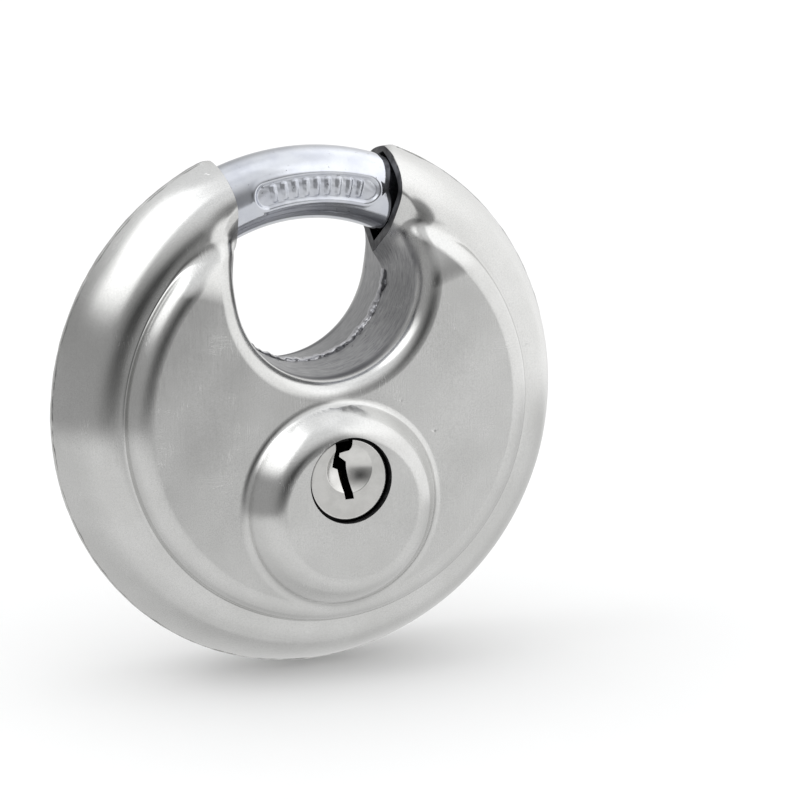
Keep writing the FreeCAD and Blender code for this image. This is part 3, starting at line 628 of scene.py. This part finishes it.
# painted shade: the walls of the keyway, a deep narrow slot, are painted near black
M_KEYWAY_SHADE = plain_metal("keyway_painted_shade", (0.010, 0.010, 0.010), (0.035, 0.034, 0.032), 0.38, (2.0, 2.0, 2.0), 8.0e-6, 0.10, 0.6)[0]
M_PIN = turned_metal("pin_brass", (0.62, 0.45, 0.18), (0.78, 0.60, 0.30), 0.20, 0.0, 0.0, 8.0, 1.5e-6)
M_ZINC = plain_metal("zinc_casting", (0.30, 0.31, 0.32), (0.46, 0.47, 0.48), 0.50, (1.3, 1.3, 1.3), 1.2e-5, 0.08, 0.25, 0.25, (0.16, 0.16, 0.17))[0]
M_HARD = plain_metal("hardened_steel", (0.10, 0.105, 0.115), (0.24, 0.25, 0.27), 0.34, (4.0, 1.0, 0.6), 3.0e-6, 0.10, 0.5, 0.3, (0.20, 0.13, 0.07))[0]
M_SPRING = plain_metal("spring_steel", (0.34, 0.35, 0.37), (0.56, 0.57, 0.59), 0.24, (6.0, 6.0, 1.0), 2.0e-6, 0.08, 0.6)[0]
M_ZPLATE = plain_metal("zinc_plated_steel", (0.50, 0.52, 0.56), (0.70, 0.71, 0.66), 0.26, (2.0, 2.0, 2.0), 3.0e-6, 0.08, 0.5)[0]

# =============================================================================================================
# covers
# =============================================================================================================
front = build_cover("front_cover_pressing", True)
boolean_cut(front, cutter_cylinder("cut_key", 0, -8.0, 5.65, -30, -18))
analytic_normals(front.data, to_field_front, True)
rear = build_cover("rear_cover_pressing", False)
analytic_normals(rear.data, to_field_rear, False)
for o, n in ((front, "front_cover"), (rear, "rear_cover")):
    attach(o, "body"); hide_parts(n)
paint_cover(front, to_field_front, True)
paint_cover(rear, to_field_rear, False)

# =============================================================================================================
# shackle: a ring segment swept about the Y axis, sunk oval with plain ribs on its front
# =============================================================================================================
def smoothstep(t):
    t = np.clip(t, 0, 1)
    return t*t*(3-2*t)


RC, RB = 28.55, 4.76


def build_shackle(name):
    ps = [np.arange(-32.0, -27.0, 0.25), np.arange(-27.0, -21.5, 0.9), np.arange(-21.5, 21.5, 0.14), np.arange(21.5, 134.0, 1.1),
          np.array([134.0, 134.49, 134.51]), np.arange(135.4, 168.01, 1.05), np.array([168.0])]
    psi = np.unique(np.round(np.concatenate(ps), 4))
    th = np.concatenate([np.arange(-36, 36.01, 0.8), np.linspace(36, 324, 110)[1:-1]])     # 0 = front, + = outward
    T, S = np.radians(th)[None, :], psi[:, None]
    s = np.radians(S-1.55)*RC                                 # length along the bar from the oval's middle
    half = math.radians((15.5+12.4)/2)*RC
    tt = RB*np.sin(T)
    onfront = np.cos(T) > 0.2
    d = np.hypot(np.maximum(np.abs(s)-half, 0), tt) - 1.85
    depth = 0.38*smoothstep(-d/0.50)*onfront
    lip = 0.05*np.exp(-((d-0.12)/0.30)**2)*onfront           # slight upset edge left by the die
    rib = np.zeros(d.shape)
    for k in range(9):
        s0 = (k-4)*1.50
        q = np.hypot(s-s0, np.maximum(np.abs(tt)-0.95, 0))
        rib = np.maximum(rib, smoothstep((0.52-q)/0.44))
    rough = 0.02*np.sin(3.1*s+1.3*tt)*np.sin(5.3*tt+0.7*s)
    rho = RB - depth + lip + (0.17*rib + rough)*smoothstep(-d/0.5)*onfront
    # slim nose at the free end
    e = np.clip((S+32.0)/5.0, 0, 1)
    rho = rho*(0.70 + 0.30*np.sqrt(1-(1-e)**2))
    x0, y0 = rho*np.sin(T), -rho*np.cos(T)
    y0 = np.where((S > 134.5) & (y0 > 3.6), 3.6, y0)
    R = RC + x0
    a = np.radians(S)
    X = np.stack([R*np.sin(a), y0 - YC, R*np.cos(a)], -1)
    nr, nc = X.shape[:2]
    V = X.reshape(-1, 3)
    F = [grid_faces(nr, nc, 0, False, True)]
    # rounded end caps
    caps = []
    for row, sign in ((0, -1), (nr-1, 1)):
        base = X[row]
        c = base.mean(0)
        ring_prev = row*nc + np.arange(nc)
        aa = math.radians(psi[row])
        tang = np.array([math.cos(aa), 0, -math.sin(aa)])*sign
        for k, (sc, push) in enumerate(((0.97, 0.06), (0.90, 0.10), (0.6, 0.12), (0.3, 0.12))):
            ring = c + (base-c)*sc + tang*(push if sign < 0 else push*0.3)
            off = len(V); V = np.concatenate([V, ring])
            cur = off + np.arange(nc)
            q = np.stack([ring_prev, np.roll(ring_prev, -1), np.roll(cur, -1), cur], -1)
            F.append(q if sign > 0 else q[:, ::-1])
            ring_prev = cur
        off = len(V); V = np.concatenate([V, (c + tang*(0.12 if sign < 0 else 0.036))[None]])
        tri = np.stack([ring_prev, np.roll(ring_prev, -1), np.full(nc, off)], -1)
        F.append(tri if sign > 0 else tri[:, ::-1])
    me = mesh_from(name, V*MM, F)
    bm = bmesh.new(); bm.from_mesh(me); bmesh.ops.recalc_face_normals(bm, faces=bm.faces); bm.to_mesh(me); bm.free()
    me.set_sharp_from_angle(angle=math.radians(50))
    return add_object(name, me)


sh = build_shackle("shackle_bar")
sh.data.materials.append(M_CHROME)
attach(sh, "shackle"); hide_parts("shackle")

# =============================================================================================================
# plug: turned face with a dished guide, joined to the CAD plug's bored and slotted body
# =============================================================================================================
KEYWAY = [(-1.75, 5.6), (0.72, 5.6), (0.56, 4.1), (0.34, 3.72), (-1.0, 3.5), (-1.0, 3.0), (0.02, 2.2), (0.06, 1.3),
          (0.66, -2.56), (-0.52, -2.56), (-1.2, 1.3), (-2.02, 1.72), (-1.7, 4.15)]


def prism_object(name, pts, y0, y1):
    """Closed prism along Y (mm, part frame) over an outline of (x, z) points."""
    n = len(pts)
    V = [(x*MM, y0*MM, z*MM) for x, z in pts] + [(x*MM, y1*MM, z*MM) for x, z in pts]
    F = [tuple(range(n)), tuple(range(2*n-1, n-1, -1))] + [(i, i+n, (i+1) % n+n, (i+1) % n) for i in range(n)]
    me = bpy.data.meshes.new(name); me.from_pydata(V, [], F)
    bm = bmesh.new(); bm.from_mesh(me)
    bmesh.ops.triangulate(bm, faces=[f for f in bm.faces if len(f.verts) > 4])
    bmesh.ops.recalc_face_normals(bm, faces=bm.faces); bm.to_mesh(me); bm.free()
    return add_object(name, me)


def build_plug(name):
    # polar grid about the dish, stretched so that its last ring is the face's own edge
    bx, bz, br, bd = 0.12, 1.36, 3.15, 0.95
    A = np.linspace(0, 2*math.pi, 200, endpoint=False)
    rings = []
    for t in np.concatenate([np.linspace(0.06, 0.93, 20), np.linspace(0.945, 1.0, 6)]):
        rad = br*t
        ph = np.arccos(np.clip(t, 0, 1))
        dep = bd*(1-t**2.3)*smoothstep((1.0-t)/0.02*0.5+0.5) if t < 1 else 0.0
        rings.append(np.stack([bx+rad*np.cos(A), np.full(A.size, -14.52+dep), bz+rad*np.sin(A)], -1))
    for t in (0.02, 0.06, 0.15, 0.35, 0.6, 0.85, 0.97, 1.0):
        ex = (bx+br*np.cos(A))*(1-t) + 5.08*np.cos(A)*t
        ez = (bz+br*np.sin(A))*(1-t) + 5.08*np.sin(A)*t
        rings.append(np.stack([ex, np.full(A.size, -14.52), ez], -1))
    for rad, y in ((5.17, -14.505), (5.22, -14.47), (5.245, -14.42), (5.25, -14.37), (5.25, -13.95), (5.24, -13.92), (4.88, -13.92), (4.86, -13.88), (4.86, -12.90)):
        rings.append(np.stack([rad*np.cos(A), np.full(A.size, y), rad*np.sin(A)], -1))
    G = np.array(rings); nr, nc = G.shape[:2]
    V = G.reshape(-1, 3)
    V = np.concatenate([V, [[bx, -14.52+bd, bz]], [[0, -12.90, 0]]])
    V[:, 1] -= YC; V[:, 2] -= 8.0
    F = [grid_faces(nr, nc, 0, False, True)]
    i = np.arange(nc)
    F.append(np.stack([i, np.roll(i, -1), np.full(nc, nr*nc)], -1)[:, ::-1])
    j = (nr-1)*nc + i
    F.append(np.stack([j, np.roll(j, -1), np.full(nc, nr*nc+1)], -1))
    me = mesh_from(name, V*MM, F, False)
    bm = bmesh.new(); bm.from_mesh(me); bmesh.ops.recalc_face_normals(bm, faces=bm.faces); bm.to_mesh(me); bm.free()
    o = add_object(name, me)
    boolean_cut(o, prism_object("cut_way", [(x, z-8.0) for x, z in KEYWAY], -27.5, -22.0))
    body = bpy.data.objects.new("plug_body_copy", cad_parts["plug"].data.copy())
    bpy.context.scene.collection.objects.link(body)
    bm = bmesh.new(); bm.from_mesh(body.data)
    bmesh.ops.remove_doubles(bm, verts=bm.verts, dist=1e-6)
    bmesh.ops.recalc_face_normals(bm, faces=bm.faces); bm.to_mesh(body.data); bm.free()
    boolean_cut(body, prism_object("cut_nose", [(-9, -17), (9, -17), (9, 1), (-9, 1)], -30.0, -24.0))
    md = o.modifiers.new("join", "BOOLEAN"); md.operation = "UNION"; md.solver = "EXACT"; md.object = body
    apply_modifiers(o)
    me = body.data; bpy.data.objects.remove(body); bpy.data.meshes.remove(me)
    me = o.data
    me.materials.clear(); me.materials.append(M_PLUG); me.materials.append(M_KEYWAY_SHADE)
    nf = len(me.polygons)
    c = np.zeros(nf*3); me.polygons.foreach_get("center", c); c = c.reshape(-1, 3)/MM
    nn = np.zeros(nf*3); me.polygons.foreach_get("normal", nn); nn = nn.reshape(-1, 3)
    inward = (nn[:, 0]*c[:, 0] + nn[:, 2]*(c[:, 2]+8.0) < 0.3*np.hypot(c[:, 0], c[:, 2]+8.0)) | (np.hypot(c[:, 0], c[:, 2]+8.0) < 4.6)
    # the keyway's walls (index 1) take the near-black painted shade; its front 0.16 mm stays nickel
    me.polygons.foreach_set("material_index", ((np.abs(nn[:, 1]) < 0.3) & inward & (c[:, 1] > -25.36+0.0) & (c[:, 1] < -9.2)).astype(int))
    me.polygons.foreach_set("use_smooth", np.ones(len(me.polygons), bool))
    me.set_sharp_from_angle(angle=math.radians(22))
    return o


pl = build_plug("plug_turned")
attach(pl, "plug"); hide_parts("plug")

# =============================================================================================================
# weld: an uneven bead along the seam inside the throat, and a fine dressed line round the rim
# =============================================================================================================
def lump(t, *terms):
    return sum(a*np.sin(f*t+p) for a, f, p in terms)


def build_bead(name):
    Vs, Fs, off = [], [], 0
    gam = np.radians(np.arange(84, 276.01, 0.35))                # round the bottom, from the right mouth to the left
    u = np.degrees(gam)
    drift = 0.22*lump(u, (1.0, 0.11, 0.4), (0.6, 0.27, 1.9), (0.30, 0.61, 4.2))
    wide = 0.92 + 0.16*lump(u, (0.9, 0.31, 2.0), (0.6, 0.74, 0.3), (0.25, 1.5, 5.0))
    high = 0.36 + 0.08*lump(u, (0.9, 0.37, 1.0), (0.6, 0.91, 3.0), (0.25, 1.9, 0.7))
    fade = smoothstep(np.minimum(u-83, 277-u)/5.0)
    base = 11.75
    a = np.linspace(0, 2*math.pi, 22, endpoint=False)
    ca, sa = np.cos(a), np.sin(a)
    prof_y = ca[None, :]*(wide*(0.45+0.55*fade))[:, None]
    prof_r = base + 0.22 - np.maximum(sa, 0)[None, :]**1.1*(0.22 + high*fade)[:, None] + np.maximum(-sa, 0)[None, :]*0.25
    prof_r = prof_r + 0.02*np.sin(9.0*prof_y+0.9*u[:, None])
    X = np.stack([prof_r*np.sin(gam)[:, None], drift[:, None]+prof_y-YC, 16.8+prof_r*np.cos(gam)[:, None]], -1)
    nr, nc = X.shape[:2]
    Vs.append(X.reshape(-1, 3)); Fs.append(grid_faces(nr, nc, 0, False, True))
    for row, rev in ((0, False), (nr-1, True)):
        c = len(Vs[0]) + (0 if row == 0 else 1)
        i = row*nc + np.arange(nc)
        t = np.stack([i, np.roll(i, -1), np.full(nc, c)], -1)
        Fs.append(t[:, ::-1] if not rev else t)
    Vs.append(np.array([X[0].mean(0), X[-1].mean(0)]))
    off = nr*nc + 2
    # rim line
    ps = np.radians(np.arange(23.25, 336.76, 0.75)); u = np.degrees(ps)
    w = 0.34 + 0.05*lump(u, (1, 0.7, 0), (0.6, 1.9, 2))
    hgt = 0.045 + 0.012*lump(u, (1, 0.9, 1), (0.7, 2.3, 0.3))
    a = np.linspace(0, 2*math.pi, 14, endpoint=False); ca, sa = np.cos(a), np.sin(a)
    fade = smoothstep(np.minimum(u-23.1, 336.9-u)/2.0)
    pr = 34.93 + np.maximum(sa, 0)[None, :]*(0.02+hgt*fade)[:, None] - np.maximum(-sa, 0)[None, :]*0.12
    py = ca[None, :]*w[:, None]
    X = np.stack([pr*np.sin(ps)[:, None], py-YC+0.03*np.sin(0.4*u)[:, None], pr*np.cos(ps)[:, None]], -1)
    nr2, nc2 = X.shape[:2]
    Vs.append(X.reshape(-1, 3)); Fs.append(grid_faces(nr2, nc2, off, True, True))
    for row, rev in ((0, True), (nr2-1, False)):
        c = off + nr2*nc2 + (0 if row == 0 else 1)
        i = off + row*nc2 + np.arange(nc2)
        t = np.stack([i, np.roll(i, -1), np.full(nc2, c)], -1)
        Fs.append(t[:, ::-1] if not rev else t)
    Vs.append(np.array([X[0].mean(0), X[-1].mean(0)]))
    me = mesh_from(name, np.concatenate(Vs)*MM, Fs)
    bm = bmesh.new(); bm.from_mesh(me); bmesh.ops.recalc_face_normals(bm, faces=bm.faces); bm.to_mesh(me); bm.free()
    return add_object(name, me)


wd = build_bead("seam_weld")
wd.data.materials.append(M_WELD); wd.data.materials.append(M_STEEL)
for pg in wd.data.polygons:
    pg.material_index = 1 if math.hypot(pg.center[0], pg.center[2]) > 0.0335 else 0
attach(wd, "body")

# =============================================================================================================
# finishes of the CAD nodes that stay
# =============================================================================================================
FINISH = {"drive_plate": M_HARD, "drive_plate_rivets": M_HARD, "driver_cam": M_ZINC, "drive_pin": M_HARD, "cam_clip": M_SPRING,
          "cylinder_body": M_BRASS, "chamber_cover": M_PIN, "front_carrier": M_ZINC, "rear_carrier": M_ZINC,
          "stop_pins": M_HARD, "carrier_screws": M_ZPLATE}
for n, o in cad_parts.items():
    mat = FINISH.get(n)
    if n.startswith("key_pin"):
        mat = M_KEYPIN_SHADED
    if n.startswith("driver_pin"):
        mat = M_PIN
    if n.startswith("pin_spring"):
        mat = M_SPRING
    if mat is None:
        continue
    if not o.material_slots:
        o.data.materials.append(mat)
    for s in o.material_slots:
        s.material = mat

# =============================================================================================================
# camera, floor and studio light
# =============================================================================================================
cam = bpy.data.cameras.new("camera"); cam.sensor_width = 36; cam.lens = 225; cam.clip_start = 0.05; cam.clip_end = 20
co = bpy.data.objects.new("camera", cam); bpy.context.scene.collection.objects.link(co)
R = Matrix(((0.91573, 0.10098, -0.38890), (-0.40132, 0.18269, -0.89753), (-0.01959, 0.97797, 0.20782)))
co.matrix_world = Matrix.Translation((-0.24215, -0.60139, 0.13502)) @ R.to_4x4()
bpy.context.scene.camera = co
bpy.context.scene.view_settings.view_transform = "Standard"

n = 64
a = np.linspace(0, 2*math.pi, n, endpoint=False)
fl = bpy.data.meshes.new("floor"); fl.from_pydata([(2.5*math.cos(t), 2.5*math.sin(t), -0.0351) for t in a], [], [tuple(range(n))])
fo = add_object("floor", fl)
fo.visible_glossy = False
m, g, b = new_material("pale_floor")
p = mm_coords(g)
g.put(b.inputs["Metallic"], 0.0)
g.put(b.inputs["Base Color"], g.mixc(g.noise(p, 0.02, 3.0), (0.90, 0.90, 0.90), (0.93, 0.93, 0.93)))
g.put(b.inputs["Roughness"], g.mixf(g.noise(p, 0.8, 2.0), 0.7, 0.85))
g.put(b.inputs["Specular IOR Level"], 0.1)
fl.materials.append(m)

# A studio round the object, written as soft lobes over direction (degrees; azimuth 0 is in front, + to the right)
world = bpy.data.worlds.new("world"); bpy.context.scene.world = world; world.use_nodes = True
g = Nodes(world.node_tree)
wout = g.add("ShaderNodeOutputWorld")
dx, dy, dz = g.xyz(g.add("ShaderNodeTexCoord").outputs["Generated"])
az = g.mul(g.math("ARCTAN2", dx, g.mul(dy, -1.0)), 180/math.pi)
el = g.mul(g.math("ARCSINE", g.math("MINIMUM", g.math("MAXIMUM", dz, -1.0), 1.0)), 180/math.pi)
aaz = g.math("ABSOLUTE", az)
# back wall and ceiling
sky = g.plus(0.32, g.smooth(el, 14.0, 60.0, 0.0, 0.64))
sky = g.plus(sky, g.mul(g.smooth(az, -38.0, -75.0), g.smooth(el, 30.0, 6.0, 0.0, 0.10)))      # grey wall on the left
sky = g.plus(sky, g.mul(g.smooth(aaz, 125.0, 160.0), g.smooth(el, 45.0, 5.0, 0.0, 0.26)))     # paler behind
sky = g.plus(sky, g.mul(g.mul(g.smooth(az, 17.5, 33.0), g.smooth(az, 172.0, 120.0)), g.smooth(el, 80.0, 30.0, 0.1, 0.86)))   # big diffuser on the right
sky = g.plus(sky, g.smooth(el, 66.0, 82.0, 0.0, 0.18))                                        # overhead diffuser
left_edge = g.mixf(g.smooth(el, 36.0, 62.0), -112.0, -140.0)
soft = g.mul(g.smooth(g.minus(az, left_edge), -9.0, 9.0), g.smooth(az, -42.0, -60.0))
soft = g.mul(soft, g.mul(g.smooth(el, 19.0, 32.0), g.smooth(el, 82.0, 62.0)))
sky = g.plus(sky, g.mul(soft, g.smooth(el, 24.0, 46.0, 0.72, 1.30)))                          # softbox high on the left
core = g.mul(g.mul(g.smooth(az, -56.0, -14.0), g.smooth(az, 14.0, -8.0)), g.mul(g.smooth(el, -20.0, 9.0), g.smooth(el, 33.0, 11.0)))
sky = g.mul(sky, g.minus(1.0, g.mul(core, 0.78)))                                             # dark gap between the lights
floor_l = g.mixf(g.smooth(aaz, 60.0, 130.0), 0.88, 0.72)                                      # pale table
floor_l = g.mul(floor_l, g.smooth(el, -84.0, -40.0, 0.86, 1.0))
L = g.mixf(g.smooth(el, -17.0, -9.5), floor_l, sky)
lp = g.add("ShaderNodeLightPath")
L = g.mixf(lp.outputs["Is Diffuse Ray"], L, 1.12)
L = g.mixf(lp.outputs["Is Camera Ray"], L, 1.0)
tint = g.mixc(g.smooth(el, 20.0, 75.0), (1.0, 1.0, 0.995), (0.985, 0.992, 1.0))
tint = g.mixc(lp.outputs["Is Camera Ray"], tint, (1.0, 1.0, 1.0))
bg = g.add("ShaderNodeBackground", {"Color": tint, "Strength": L})
g.put(wout.inputs[0], bg)


def softbox(name, az, el, dist, w, h, radiance, tint=(1, 1, 1)):
    """Rectangular soft light aimed at the object from a direction in degrees."""
    l = bpy.data.lights.new(name, "AREA"); l.shape = "RECTANGLE"; l.size = w; l.size_y = h
    l.energy = radiance*math.pi*w*h; l.color = tint
    a, e = math.radians(az), math.radians(el)
    d = Vector((math.sin(a)*math.cos(e), -math.cos(a)*math.cos(e), math.sin(e)))
    o = bpy.data.objects.new(name, l)
    o.location = Vector((0, -0.011, 0)) + d*dist
    o.rotation_euler = (-d).to_track_quat("-Z", "Y").to_euler()
    bpy.context.scene.collection.objects.link(o)
    return o


softbox("softbox_left", -97, 52, 0.9, 0.62, 0.36, 0.9).visible_glossy = False
